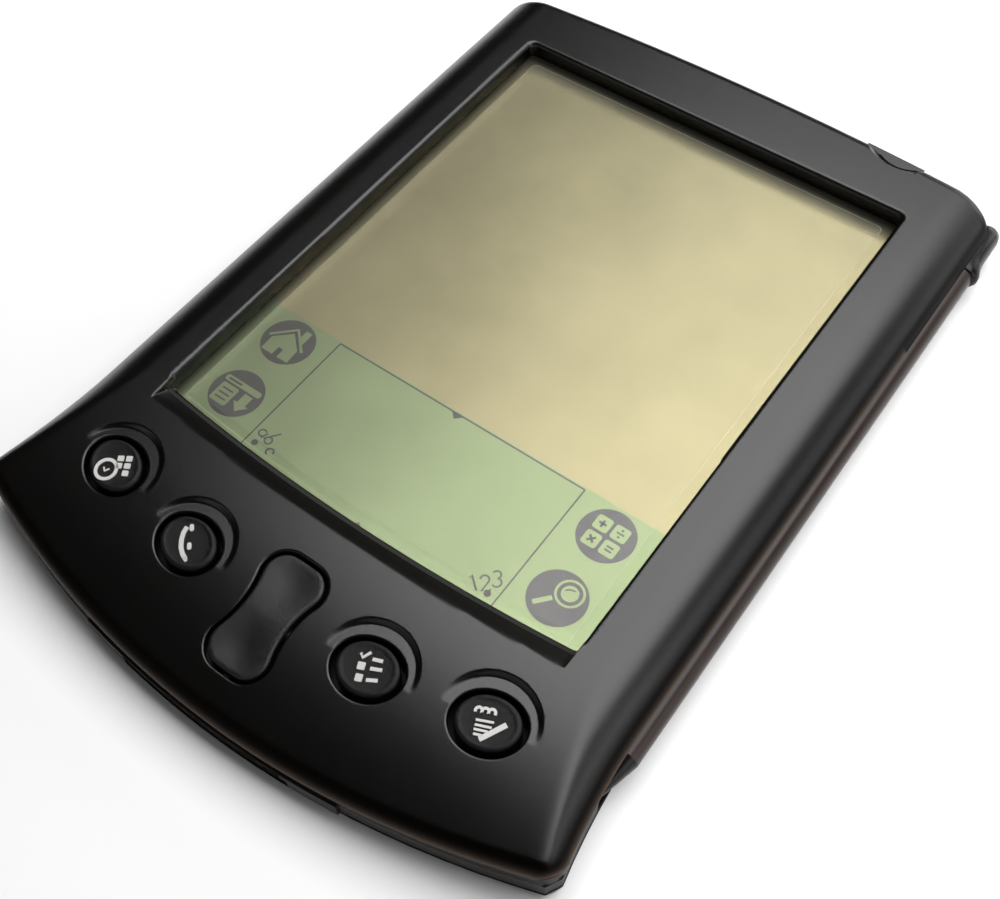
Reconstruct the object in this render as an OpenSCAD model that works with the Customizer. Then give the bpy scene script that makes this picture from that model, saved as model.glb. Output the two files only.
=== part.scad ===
// Slim personal digital assistant: two glued metal shells round a plastic mid frame that
// carries the touch screen, the boards, the battery and an open rail along each side.
// Millimetres. X to the right, Y towards the top end, Z out of the screen.
// The origin is the centre of the flat back.

/* [Body] */
// Length of the shells, bottom end to top end
body_l = 115; // [110:0.5:130]
// Width over the lips of the front shell
body_w = 79.2; // [76:0.2:90]
// Thickness, from the back to the flat of the front
body_t = 10.2; // [10:0.1:12]
// Wall of the front shell
front_wall = 0.7; // [0.5:0.05:0.9]
// Wall of the rear shell
rear_wall = 0.7; // [0.5:0.05:0.8]
// Height of the front shell's lip at the bottom end
lip_low_z = 3.9; // [3.8:0.05:4.6]
// Length over which the lip drops to that height
lip_drop_l = 8; // [6:0.5:10]
// Height of the rear shell's lip
rear_lip_z = 1.3; // [1.2:0.02:1.4]
// Radius of the front shell's long sides
side_r = 7; // [6.6:0.1:7.5]
// Distance from the lip in to the centre of that radius
side_in = 6.6; // [6:0.1:6.6]
// Radius of the back's edges
rear_edge_r = 3.5; // [3.2:0.1:3.6]
// Radius of the top end's edge
top_edge_r = 1.8; // [1:0.1:2.4]
// Radius of the bottom outline
bottom_arc_r = 119; // [110:1:160]
// Radius of the top outline
top_arc_r = 440; // [300:10:600]
// Depth of the flat cut across each bottom corner
corner_cut = 0.9; // [0.5:0.1:1.2]
// Radius of the top corners, seen from the front
top_corner_r = 2.4; // [1.8:0.1:3]
// Distance from the bottom end to where the sides begin to flare
flare_from_end = 26.5; // [24:0.5:28]
// Radius of the flare
flare_r = 85; // [75:1:110]
// Distance from the bottom end to where the front begins to slope
slope_from_end = 28.5; // [27:0.5:30]
// Radius of the front's slope
slope_r = 95; // [90:1:130]

/* [Window] */
// Width of the window
window_w = 59.6; // [54:0.2:60]
// Length of the window, on its centre line
window_l = 77.2; // [70:0.2:77.4]
// Distance from the top end to the window
window_from_top = 10.7; // [10.5:0.1:14]
// Radius of the window's lower edge
window_arc_r = 278; // [200:2:400]
// Radius of the window's corners
window_corner_r = 0.8; // [0.5:0.1:2]
// Depth of the window's turned-down rim
rim_depth = 1.4; // [1:0.1:1.6]
// Wall of that rim
rim_wall = 0.6; // [0.4:0.05:0.8]

/* [Screen] */
// Width of the touch panel
panel_w = 65; // [63:0.2:66]
// Margin of the touch panel past the window, at its ends
panel_margin = 2.6; // [2:0.1:2.8]
// Thickness of the touch panel
panel_t = 1.0; // [0.8:0.05:1.1]
// Thickness of the window gasket
gasket_t = 0.9; // [0.6:0.05:1]
// Thickness of the protector film
film_t = 0.12; // [0.08:0.01:0.2]
// Gap from the window's edge to the protector film
film_gap = 1.6; // [1:0.1:3]
// How far the writing area's print runs past the window's lower edge
print_past = 1.6; // [1:0.1:1.6]
// Height of the printed writing area
writing_h = 21.4; // [18:0.2:22]
// Thickness of the liquid crystal glass
lcd_t = 2.0; // [1.6:0.1:2.2]
// Thickness of the backlight panel
backlight_t = 0.3; // [0.2:0.05:0.4]

/* [Buttons] */
// Half length of an application button's hole
hole_a = 4.25; // [4:0.05:4.5]
// Half width of an application button's hole
hole_b = 3.5; // [3.2:0.05:3.7]
// Gap round a button's cap
cap_gap = 0.55; // [0.3:0.05:0.7]
// Travel of an application button
press_travel = 0.4; // [0.3:0.05:0.4]
// Height of a cap above the surface round it
cap_proud = 0.15; // [0:0.05:0.4]
// Distance from the centre line to the inner buttons
inner_x = 12.97; // [12:0.1:14]
// Distance from the bottom end to the inner buttons
inner_from_end = 13.8; // [13:0.1:14.5]
// Distance from the centre line to the outer buttons
outer_x = 26.87; // [26:0.1:28]
// Distance from the bottom end to the outer buttons
outer_from_end = 16.3; // [15.5:0.1:17]
// Ledge between a button's hole and the rim of its scoop
scoop_ledge = 1.2; // [1:0.05:1.3]
// Shift of the scoop's centre above the button's centre
scoop_up = 0.3; // [0:0.1:0.6]

/* [Scroll rocker] */
// Distance from the bottom end to the rocker's pivot
rocker_from_end = 12.3; // [11.5:0.1:12.6]
// Radius of the two lobes of the rocker's hole
lobe_r = 4.25; // [4:0.05:4.5]
// Distance from the pivot to each lobe's centre
lobe_y = 3.4; // [3:0.1:3.7]
// Half width of the hole at its waist
waist = 3.45; // [3:0.05:3.8]
// Gap round the rocker
rocker_gap = 0.35; // [0.25:0.05:0.5]
// Radius of the rocker's pin
rocker_pin_r = 0.45; // [0.35:0.05:0.5]

/* [Top end] */
// Distance from the centre line to the power and contrast buttons
top_button_x = 23.75; // [21:0.25:24]
// Width of the power and contrast buttons
top_button_w = 8.8; // [7:0.1:9]
// How far the power button stands past the top end
power_proud = 0.9; // [0.6:0.1:1.2]
// How far the contrast button stands past the top end
contrast_proud = 0.15; // [0:0.05:0.4]
// Travel of the power and contrast buttons
top_travel = 0.4; // [0.2:0.05:0.5]
// Width of the infrared window
ir_w = 13; // [10:0.5:15]

/* [Stylus and rails] */
// Radius of the stylus barrel
stylus_r = 1.8; // [1.6:0.02:1.82]
// Running clearance of the stylus in its rail, on the radius
rail_clear = 0.05; // [0.02:0.01:0.08]
// Distance from the lip in to the rail's axis
rail_in = 0.4; // [0.2:0.05:0.6]
// Wall of the mid frame between a rail and each shell's lip
rail_wall = 0.25; // [0.2:0.01:0.3]
// Distance from the bottom end to the closed end of the rails
rail_from_end = 17.5; // [17:0.5:20]
// Length of the stylus head
head_l = 9.9; // [8:0.1:12]
// How far the stylus head stands out past the barrel, on the radius
head_step = 0.1; // [0.04:0.01:0.12]
// How far the head's finger catch stands out past the barrel
catch_out = 0.35; // [0.2:0.05:0.5]

/* [Battery and label] */
// Width of the battery cell
battery_w = 52; // [40:1:60]
// Distance from the bottom end to the battery cell
battery_from_end = 26.7; // [26:0.1:28]
// Length of the battery cell
battery_l = 36; // [30:0.5:36.5]
// Gap between the battery cell and the screen's frame
battery_clear = 0.34; // [0.2:0.02:0.6]
// Width of the label on the back
label_w = 40; // [30:1:50]
// Length of that label
label_l = 25; // [15:1:30]

/* [Hidden] */

fine = 360;
round_fn = 72;
big = 200;
fit_gap = 0.05;
half_w = body_w / 2;
top_y = body_l / 2;
bottom_y = -body_l / 2;
dock_proud = 0.3;
shell_bottom_y = bottom_y + dock_proud;
flare_y = bottom_y + flare_from_end;
slope_y = bottom_y + slope_from_end;
bottom_cy = shell_bottom_y + bottom_arc_r;
top_cy = top_y - top_arc_r;
side_cz = body_t - side_r;
rail_r = stylus_r + rail_clear;
rail_x = half_w - rail_in;
rail_y0 = bottom_y + rail_from_end;
rail_z = rear_lip_z + rail_wall + rail_r;
lip_z = rail_z + rail_r + rail_wall;
rear_in = sqrt(pow(rear_edge_r, 2) - pow(rear_edge_r - rear_lip_z, 2));

window_top = top_y - window_from_top;
window_bottom = window_top - window_l;
window_cy = window_bottom + window_arc_r;

panel_top_z = body_t - rim_depth - gasket_t;
panel_z = panel_top_z - panel_t;
print_t = 0.06;
panel_y0 = window_bottom - panel_margin;
panel_y1 = window_top + panel_margin;
lcd_top_z = panel_z - print_t;
lcd_z = lcd_top_z - lcd_t;
backlight_z = lcd_z - backlight_t;
frame_floor = 0.4;
frame_z = backlight_z - frame_floor;
frame_wall = 1.0;
screen_past = 1.2;
writing_bottom = window_bottom - print_past;
writing_top = writing_bottom + writing_h;

cavity_in = 3.1;
wall_in = 1.8;
foot_in = 2;
rim_gap = 0.1;
board_t = 0.8;
board_z = frame_z - board_t;
scoop_r = hole_a + scoop_ledge;
bar_w = 1.4;
bar_gap = 0.3;
battery_y0 = bottom_y + battery_from_end;
battery_y1 = battery_y0 + battery_l;
board_y0 = battery_y1 + bar_gap + bar_w + 1.3;
board_y1 = top_y - 3.2;
board_in = 3.3;
boss_x = half_w - cavity_in - 1.1;
boss_ys = [board_y0 + 2.2, board_y1 - 9];
boss_side = 3.2;
screw_r = 0.5;
screw_head_r = 0.9;
screw_head_t = 0.35;

head_y0 = top_y - head_l;
head_r = stylus_r + head_step;
head_pocket_r = head_r + rail_clear;
catch_r = stylus_r + head_step / 2;
catch_l = 1.6;
tip_r = 0.6;
tip_l = 4.6;
tip_stem_l = 4;
barrel_y0 = rail_y0 + tip_l + tip_r + 0.7;
bore_r = 1.2;
spigot_l = 3;
pin_l = 8;
pin_r = 0.45;

key_board_z = body_t - 5.2;
frame_top_z = body_t - 3.2;
adhesive_top_z = body_t - 1.8;
key_board_y1 = panel_y0 - 1.6;
dome_h = 0.5;
dome_r = 2.2;
dome_top_z = key_board_z + board_t + dome_h;
flange_z = dome_top_z + 0.65;
flange_t = 0.45;
plunger_z = dome_top_z + press_travel + 0.05;
ledge_in = 5;

BUTTONS = [[-outer_x, bottom_y + outer_from_end, -16],
  [-inner_x, bottom_y + inner_from_end, -8],
  [inner_x, bottom_y + inner_from_end, 8],
  [outer_x, bottom_y + outer_from_end, 16]];
rocker_y = bottom_y + rocker_from_end;
rocker_pivot_z = key_board_z + board_t + 1.1;
rocker_plunger_y = lobe_y + 1.6;
rocker_boss_r = 1.0;
ear_x = 4.3;
ear_t = 0.8;

top_button_z0 = body_t - top_edge_r - 2.5;
top_button_z1 = body_t - top_edge_r + 0.3;

top_flange_t = 0.6;
top_flange_y = top_edge_y(top_button_x + top_button_w / 2 + 1) - cavity_in - top_flange_t - 0.1;
top_switch_y = top_flange_y - 1.1;
top_push_z = board_z + board_t + 2.1;
top_push_h = 1.3;
reset_at = [-24, board_y0 + 15.8];
reset_hole_r = 0.6;

dock_w = 24;
dock_h = 2.2;
dock_z = 1.5;
dock_l = 6;
dock_contact_n = 10;
dock_pitch = 1.9;

dock_lip_w = 36.4;
ir_x = -6;
ir_z = 1.8;
ir_h = 3.3;

battery_tape_t = 0.1;
battery_z = rear_wall + battery_tape_t;
battery_t = frame_z - battery_z - battery_clear;
lead_z = board_z - 1.04;
label_t = 0.1;
label_y0 = battery_y0 + 0.8;
flex_t = 0.15;
lead_x = [20, 22.4];
lead_r = 0.4;
frame_bottom_z = rear_wall + 0.15;

// Height of the sloping front surface at a distance y along the body.
function front_z(y) = y > slope_y ? body_t
  : body_t - slope_r + sqrt(pow(slope_r, 2) - pow(slope_y - y, 2));

// Y of the top outline at a distance x from the centre line.
function top_edge_y(x) = top_cy + sqrt(pow(top_arc_r, 2) - x * x);

function unit(v) = v / norm(v);

// The crossing of two circles that lies to the left of the way from p to q.
function crossing(p, rp, q, rq) =
  let (d = norm(q - p), u = (q - p) / d, t = (rp * rp - rq * rq + d * d) / (2 * d),
    h = sqrt(rp * rp - t * t))
  p + t * u + h * [-u[1], u[0]];

// What a rounded corner takes off an outline: the wedge past its circle.
module corner_waste(c, to_a, to_b, r) {
  reach = 8;
  if (r > 0) translate(c) difference() {
    polygon([[0, 0], reach * to_a, 2 * reach * unit(to_a + to_b), reach * to_b]);
    circle(r = r, $fn = round_fn);
  }
}

// The outline seen from the front, moved in by i.
module plan(i = 0) {
  flare_c = [half_w + flare_r, flare_y];
  bottom_c = [0, bottom_cy];
  crossings = [crossing(bottom_c, bottom_arc_r, flare_c, flare_r),
    crossing(flare_c, flare_r, bottom_c, bottom_arc_r)];
  tip = crossings[0][1] < crossings[1][1] ? crossings[0] : crossings[1];
  out = unit(unit(tip - bottom_c) + unit(flare_c - tip));
  top_c = [half_w - top_corner_r, top_edge_y(0) - top_arc_r
    + sqrt(pow(top_arc_r - top_corner_r, 2) - pow(half_w - top_corner_r, 2))];
  difference() {
    intersection() {
      translate(bottom_c) circle(r = bottom_arc_r - i, $fn = fine);
      translate([0, top_cy]) circle(r = top_arc_r - i, $fn = 2 * fine);
      union() {
        translate([-half_w + i, flare_y]) square([body_w - 2 * i, big]);
        difference() {
          translate([-half_w - 8, bottom_y - 8]) square([body_w + 16, flare_y - bottom_y + 8]);
          for (s = [-1, 1])
            translate([s * flare_c[0], flare_y]) circle(r = flare_r + i, $fn = fine);
        }
      }
    }
    for (s = [0, 1]) mirror([s, 0]) {
      translate(tip - (corner_cut + i) * out) rotate(atan2(out[1], out[0]))
        translate([0, -big / 2]) square(big);
      corner_waste(top_c, [1, 0], unit(top_c - [0, top_cy]), top_corner_r - i);
    }
  }
}

// The part of the plane past a quarter circle, for rounding an edge that runs above it.
module edge_waste(r) {
  difference() {
    square(big / 8);
    circle(r = r, $fn = round_fn);
  }
}

// Takes the edge off a body's long sides and its flares. The quarter circle of radius r has its
// centre at height z, in from the outline by in; up is 1 or -1.
module side_edges(r, in, z, up) {
  for (s = [0, 1]) mirror([s, 0, 0]) {
    translate([half_w - in, flare_y, z]) rotate([90, 0, 180]) mirror([1, 0, 0])
      linear_extrude(big) scale_up(up) edge_waste(r);
    translate([half_w + flare_r, flare_y, z]) rotate_extrude($fn = fine)
      translate([flare_r + in, 0]) mirror([1, 0]) scale_up(up) edge_waste(r);
  }
}

module scale_up(up) {
  if (up > 0) children();
  else mirror([0, 1]) children();
}

// The front half's outer form, moved in by i.
module front_form(i = 0) {
  difference() {
    linear_extrude(body_t - i) plan(i);
    side_edges(side_r - i, side_in, side_cz, 1);
    translate([0, top_cy, body_t - top_edge_r]) rotate_extrude($fn = 2 * fine)
      translate([top_arc_r - top_edge_r, 0]) edge_waste(top_edge_r - i);
    translate([0, slope_y, body_t - slope_r]) rotate([90, 0, 0]) rotate([0, 90, 0])
      linear_extrude(big, center = true) difference() {
        translate([-big / 2, 0]) square([big / 2, slope_r + 10]);
        circle(r = slope_r - i, $fn = 2 * fine);
      }
  }
}

// The rear half's outer form, moved in by i.
module rear_form(i = 0) {
  difference() {
    translate([0, 0, i]) linear_extrude(rear_lip_z + 1) plan(i);
    side_edges(rear_edge_r - i, rear_in, rear_edge_r, -1);
    translate([0, bottom_cy, rear_edge_r]) rotate_extrude($fn = fine)
      translate([bottom_arc_r - rear_in, 0]) mirror([0, 1]) edge_waste(rear_edge_r - i);
    translate([0, top_cy, rear_edge_r]) rotate_extrude($fn = 2 * fine)
      translate([top_arc_r - rear_in, 0]) mirror([0, 1]) edge_waste(rear_edge_r - i);
  }
}

// Everything below the line where the front shell ends, lowered by gap.
module below_parting(gap = 0) {
  drop_y0 = rail_y0 - 0.5;
  drop_y1 = drop_y0 - lip_drop_l;
  rotate([90, 0, 90]) linear_extrude(big, center = true)
    polygon([[-big / 2, -1], [big / 2, -1], [big / 2, lip_z - gap], [drop_y0, lip_z - gap],
      [drop_y1, lip_low_z - gap], [-big / 2, lip_low_z - gap]]);
}

// The window's outline, moved out by o.
module window_plan(o = 0) {
  r = window_corner_r + o;
  w = window_w / 2 + o;
  c_low = [w - r, window_cy - sqrt(pow(window_arc_r + o - r, 2) - pow(w - r, 2))];
  difference() {
    intersection() {
      translate([-w, window_bottom - 5]) square([2 * w, window_l + 5 + o]);
      translate([0, window_cy]) circle(r = window_arc_r + o, $fn = 2 * fine);
    }
    for (s = [0, 1]) mirror([s, 0]) {
      corner_waste([w - r, window_top + o - r], [1, 0], [0, 1], r);
      corner_waste(c_low, [1, 0], unit(c_low - [0, window_cy]), r);
    }
  }
}

// An oval of half length a and half width b.
module oval(a, b) {
  for (s = [-1, 1]) translate([s * (a - b), 0]) circle(r = b, $fn = round_fn);
  square([2 * (a - b), 2 * b], center = true);
}

// The hourglass of the scroll rocker, moved in by i.
module hourglass(i = 0) {
  dent = (waist * waist + lobe_y * lobe_y - lobe_r * lobe_r) / (2 * (lobe_r - waist));
  dent_x = waist + dent;
  difference() {
    union() {
      for (s = [-1, 1]) translate([0, s * lobe_y]) circle(r = lobe_r - i, $fn = round_fn);
      polygon([[dent_x, 0], [0, lobe_y], [-dent_x, 0], [0, -lobe_y]]);
    }
    for (s = [-1, 1]) translate([s * dent_x, 0]) circle(r = dent + i, $fn = round_fn);
  }
}

module at_button(k) {
  translate([BUTTONS[k][0], BUTTONS[k][1], 0]) rotate(BUTTONS[k][2]) children();
}

// A plain block between two corners.
module block(a, b) {
  translate(a) cube(b - a);
}

// The space above the floor of every scoop, with the scoops' radii enlarged by o and floors
// lowered by o.
module scoops(o = 0) {
  for (b = BUTTONS) {
    floor_z = front_z(b[1] + scoop_up) - 0.1;
    translate([b[0], b[1] + scoop_up, floor_z - o]) cylinder(r = scoop_r + o, h = 4,
      $fn = round_fn);
  }
}

module top_button_slot(s, o) {
  x = s * top_button_x;
  block([x - top_button_w / 2 - o, top_y - 6, top_button_z0 - o],
    [x + top_button_w / 2 + o, top_y + 2, top_button_z1 + o]);
}

module front_shell() {
  color([0.16, 0.155, 0.15]) difference() {
    front_form();
    difference() {
      front_form(front_wall);
      scoops(front_wall);
      translate([0, 0, body_t - rim_depth]) linear_extrude(rim_depth) window_plan(rim_wall);
    }
    below_parting();
    translate([0, 0, lip_z]) linear_extrude(body_t) window_plan();
    scoops();
    for (k = [0:3]) at_button(k) translate([0, 0, lip_z]) linear_extrude(body_t)
      oval(hole_a, hole_b);
    translate([0, rocker_y, lip_z - 1]) linear_extrude(body_t) hourglass();
    for (s = [-1, 1]) top_button_slot(s, 0.1);
  }
}

module rear_shell() {
  color([0.14, 0.135, 0.13]) difference() {
    rear_form();
    rear_form(rear_wall);
    translate([0, 0, rear_lip_z]) linear_extrude(3) square(big, center = true);
    translate([reset_at[0], reset_at[1], -1]) cylinder(r = reset_hole_r, h = 3, $fn = round_fn);
    label_block(0.001);
  }
}

// The label on the back; over makes it stand out by that much.
module label_block(over = 0) {
  block([-label_w / 2, label_y0, -over], [label_w / 2, label_y0 + label_l, label_t]);
}

module rear_label() {
  color([0.25, 0.25, 0.26]) label_block();
}

module rail_bore(s) {
  translate([s * rail_x, rail_y0, rail_z]) rotate([-90, 0, 0])
    cylinder(r = rail_r, h = body_l, $fn = round_fn);
}

// The wider end of the right rail, which takes the stylus head.
module head_pocket() {
  translate([rail_x, head_y0 - 0.2, rail_z]) rotate([-90, 0, 0])
    cylinder(r = head_pocket_r, h = body_l, $fn = round_fn);
}

// Ears on the mid frame that carry the main board's screws.
module bosses() {
  h = boss_side / 2;
  for (s = [-1, 1], y = boss_ys)
    block([s * boss_x - h, y - h, frame_bottom_z], [s * boss_x + h, y + h, board_z]);
}

module boss_holes(z0, z1) {
  for (s = [-1, 1], y = boss_ys)
    translate([s * boss_x, y, z0]) cylinder(r = screw_r, h = z1 - z0, $fn = round_fn);
}

module dock_space(o) {
  block([-dock_w / 2 - o, bottom_y - 1, dock_z - o], [dock_w / 2 + o, bottom_y + dock_l + 1,
    dock_z + dock_h + o]);
}

module ir_block(o) {
  block([ir_x - ir_w / 2 - o, top_y - 4, ir_z - o],
    [ir_x + ir_w / 2 + o, top_y + 1, ir_z + ir_h + o]);
}

module mid_frame() {
  color([0.11, 0.1, 0.1]) difference() {
    union() {
      intersection() {
        translate([0, 0, rear_lip_z]) linear_extrude(lip_z - rear_lip_z) plan(rim_gap);
        below_parting();
      }
      translate([0, 0, frame_bottom_z]) linear_extrude(rear_lip_z - frame_bottom_z) plan(foot_in);
      intersection() {
        translate([0, 0, lip_low_z]) linear_extrude(frame_top_z - lip_low_z) plan(wall_in);
        front_form(front_wall + fit_gap);
      }
      intersection() {
        translate([0, 0, rear_lip_z]) linear_extrude(lip_low_z - rear_lip_z) intersection() {
          translate([0, bottom_cy]) circle(r = bottom_arc_r + dock_proud, $fn = fine);
          translate([-dock_lip_w / 2, bottom_y - 1]) square([dock_lip_w, 5]);
        }
        below_parting(rim_gap);
      }
    }
    difference() {
      translate([0, 0, -1]) linear_extrude(body_t + 2) plan(cavity_in);
      bosses();
      cross_bars();
      key_ledge();
    }
    boss_holes(frame_bottom_z + frame_floor, board_z + 1);
    rail_bore(-1);
    rail_bore(1);
    head_pocket();
    dock_space(0);
    ir_block(0);
    for (s = [-1, 1]) top_button_slot(s, 0.1);
    lead_notch();
  }
}

// Bars across the frame, above and below the battery.
module cross_bars() {
  top_z = battery_z + battery_t;
  for (y = [battery_y0 - bar_gap - bar_w, battery_y1 + bar_gap])
    block([-half_w, y, frame_bottom_z], [half_w, y + bar_w, top_z]);
}

module lead_notch() {
  block([lead_x[0] - 1, battery_y1, lead_z - 0.7], [lead_x[1] + 1, battery_y1 + bar_gap + bar_w + 0.5,
    body_t / 2]);
}

// The shelf under the key board.
module key_ledge() {
  translate([0, 0, key_board_z - board_t]) linear_extrude(board_t) difference() {
    intersection() {
      plan(cavity_in - 0.5);
      translate([-big / 2, bottom_y]) square([big, key_board_y1 - bottom_y]);
    }
    plan(ledge_in);
  }
}

module shell_adhesive() {
  color([0.8, 0.78, 0.7]) for (s = [-1, 1]) intersection() {
    block([s * (half_w - 2.5) - 0.4, slope_y, frame_top_z],
      [s * (half_w - 2.5) + 0.4, window_top, adhesive_top_z]);
    front_form(front_wall);
  }
}

module rear_adhesive() {
  color([0.8, 0.78, 0.7]) translate([0, 0, rear_wall]) linear_extrude(frame_bottom_z - rear_wall)
    difference() {
      plan(rear_in + fit_gap);
      plan(rear_in + 1.7);
    }
}

module window_gasket() {
  color([0.09, 0.09, 0.09]) translate([0, 0, panel_top_z]) linear_extrude(gasket_t)
    difference() {
      window_plan(1.6);
      window_plan(0.5);
    }
}

module screen_protector() {
  color([0.85, 0.9, 0.88, 0.25]) translate([0, 0, panel_top_z]) linear_extrude(film_t)
    window_plan(-film_gap);
}

module touch_panel() {
  color([0.7, 0.75, 0.7, 0.3]) block([-panel_w / 2, panel_y0, panel_z],
    [panel_w / 2, panel_y1, panel_top_z]);
}

module writing_print() {
  color([0.6, 0.7, 0.5]) block([-window_w / 2 - screen_past, writing_bottom, lcd_top_z],
    [window_w / 2 + screen_past, writing_top, panel_z]);
}

module writing_backer() {
  color([0.75, 0.78, 0.7]) block([-window_w / 2 - screen_past, panel_y0 + frame_wall + 0.2, backlight_z],
    [window_w / 2 + screen_past, writing_top - 1.2, lcd_top_z]);
}

module lcd_glass() {
  color([0.72, 0.7, 0.55]) block([-window_w / 2 - screen_past, writing_top - 1, lcd_z],
    [window_w / 2 + screen_past, panel_y1 - frame_wall - 0.2, lcd_top_z]);
}

module backlight_panel() {
  color([0.8, 0.85, 0.8]) block([-window_w / 2 - 0.6, writing_top - 0.8, backlight_z],
    [window_w / 2 + 0.6, panel_y1 - frame_wall - 0.8, lcd_z]);
}

module lcd_frame() {
  w = panel_w / 2 + 0.8;
  color([0.2, 0.2, 0.21]) difference() {
    block([-w, panel_y0, frame_z], [w, panel_y1, panel_z]);
    block([-w + 1.4, panel_y0 + frame_wall, backlight_z], [w - 1.4, panel_y1 - frame_wall,
      panel_z + 1]);
    block([-12, panel_y1 - 2, lcd_z + 0.05], [12, panel_y1 + 1, lcd_z + 0.45]);
  }
}

module lcd_flex() {
  t = flex_t;
  y0 = panel_y1 - frame_wall - 0.2;
  y1 = panel_y1 + 0.3;
  color([0.75, 0.5, 0.2]) {
    block([-11, y0, lcd_z + 0.1], [11, y1 + t, lcd_z + 0.1 + t]);
    block([-11, y1, board_z + board_t], [11, y1 + t, lcd_z + 0.1 + t]);
  }
}

module touch_flex() {
  t = flex_t;
  x0 = panel_w / 2;
  x1 = panel_w / 2 + 1;
  y0 = board_y0 + 11.8;
  y1 = y0 + 6;
  color([0.75, 0.5, 0.2]) mirror([1, 0, 0]) {
    block([x0, y0, panel_z + 0.3], [x1 + t, y1, panel_z + 0.3 + t]);
    block([x1, y0, board_z + board_t], [x1 + t, y1, panel_z + 0.3 + t]);
  }
}

module key_flex() {
  t = 0.12;
  z = board_z + board_t - t;
  y = key_board_y1 - 1;
  color([0.75, 0.5, 0.2]) {
    block([-8, y, z], [8, board_y0, z + t]);
    block([-8, y, z], [8, y + t, key_board_z]);
  }
}

module main_board() {
  color([0.1, 0.35, 0.2]) difference() {
    translate([0, 0, board_z]) linear_extrude(board_t) difference() {
      intersection() {
        plan(board_in);
        translate([-big / 2, board_y0]) square([big, board_y1 - board_y0]);
      }
      translate([ir_x - ir_w / 2, top_y - 7.1]) square([ir_w, 10]);
    }
    boss_holes(board_z - 1, board_z + 2);
  }
}

module board_screws() {
  color([0.7, 0.7, 0.72]) for (s = [-1, 1], y = boss_ys) translate([s * boss_x, y, 0]) {
    translate([0, 0, frame_bottom_z + frame_floor])
      cylinder(r = screw_r, h = board_z + board_t - frame_bottom_z - frame_floor, $fn = round_fn);
    translate([0, 0, board_z + board_t]) difference() {
      cylinder(r = screw_head_r, h = screw_head_t, $fn = round_fn);
      translate([0, 0, 0.15]) block([-1, -0.12, 0], [1, 0.12, 1]);
      translate([0, 0, 0.15]) block([-0.12, -1, 0], [0.12, 1, 1]);
    }
  }
}

// A flat package on the underside of the main board.
module chip(x, y, w, l, t) {
  block([x - w / 2, y - l / 2, board_z - t], [x + w / 2, y + l / 2, board_z]);
}

module processor_chip() {
  color([0.08, 0.08, 0.09]) chip(0, board_y0 + 17, 14, 14, 1.2);
}

module memory_chips() {
  color([0.08, 0.08, 0.09]) for (x = [-13, 14.5]) chip(x, board_y0 + 17, 8.5, 13, 1.0);
}

module crystal_can() {
  color([0.75, 0.75, 0.77]) chip(0, board_y0 + 28, 6, 2, 1.4);
}

module small_components() {
  color([0.7, 0.6, 0.45]) for (i = [0:5], j = [0:1])
    chip(-9 + 3.6 * i, board_y0 + 5 + 2.4 * j, 1.6, 0.8, 0.5);
}

module shield_can() {
  x = 25;
  y = board_y1 - 13.1;
  wall = 0.2;
  color([0.72, 0.73, 0.75]) difference() {
    chip(x, y, 14, 10, 1.8);
    block([x - 7 + wall, y - 5 + wall, board_z - 1.8 + wall], [x + 7 - wall, y + 5 - wall,
      board_z + 1]);
  }
}

module reset_switch() {
  color([0.2, 0.2, 0.2]) {
    chip(reset_at[0], reset_at[1], 3.2, 3.2, 1.1);
    translate([reset_at[0], reset_at[1], board_z - 1.6]) cylinder(r = 0.6, h = 0.5, $fn = round_fn);
  }
}

// A side-push switch on the board, behind a button at the top end.
module top_switch(s) {
  x = s * top_button_x;
  z = board_z + board_t;
  block([x - 2.6, panel_y1 + 0.1, z], [x + 2.6, top_switch_y - 0.5, z + 3]);
  block([x - 0.8, top_switch_y - 0.5, top_push_z - 0.2], [x + 0.8, top_switch_y, top_push_z + 0.7]);
}

module power_switch() {
  color([0.15, 0.15, 0.16]) top_switch(1);
}

module contrast_switch() {
  color([0.15, 0.15, 0.16]) top_switch(-1);
}

// A button at the top end: a cap that follows the top outline and a flange behind the wall.
module top_button(s, proud) {
  x = s * top_button_x;
  z0 = top_button_z0 + fit_gap;
  z1 = top_button_z1 - fit_gap;
  w = top_button_w / 2 - fit_gap;
  intersection() {
    block([x - w, top_flange_y, z0], [x + w, top_y + 2, z1]);
    translate([0, top_cy, 0]) cylinder(r = top_arc_r + proud, h = body_t, $fn = 2 * fine);
  }
  block([x - w - 1, top_flange_y, z0 + 0.3], [x + w + 1, top_flange_y + top_flange_t, z1 - 0.5]);
  block([x - 1, top_switch_y + top_travel + 0.1, top_push_z],
    [x + 1, top_flange_y, top_push_z + top_push_h]);
}

module power_button() {
  color([0.18, 0.19, 0.18]) top_button(1, power_proud);
}

module contrast_button() {
  color([0.18, 0.19, 0.18]) top_button(-1, contrast_proud);
}

module ir_transceiver() {
  color([0.1, 0.08, 0.12]) {
    block([ir_x - 4.5, top_y - 7.1, ir_z + 0.3],
      [ir_x + 4.5, top_y - 4.6, max(ir_z + ir_h - 0.3, board_z + board_t)]);
    for (x = [-2.2, 2.2]) translate([ir_x + x, top_y - 4.6, ir_z + ir_h / 2]) intersection() {
      sphere(r = 1.1, $fn = round_fn);
      block([-2, 0, -2], [2, 2, 2]);
    }
  }
}

module ir_window() {
  color([0.12, 0.02, 0.03]) intersection() {
    translate([0, 0, 1]) linear_extrude(6) difference() {
      plan(rim_gap);
      plan(rim_gap + 1.6);
    }
    ir_block(0);
  }
}

module piezo_speaker() {
  color([0.75, 0.62, 0.3]) translate([20, board_y0 + 15, rear_wall]) {
    cylinder(r = 8.5, h = 0.2, $fn = round_fn);
    translate([0, 0, 0.2]) cylinder(r = 6, h = 0.2, $fn = round_fn);
  }
}

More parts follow.
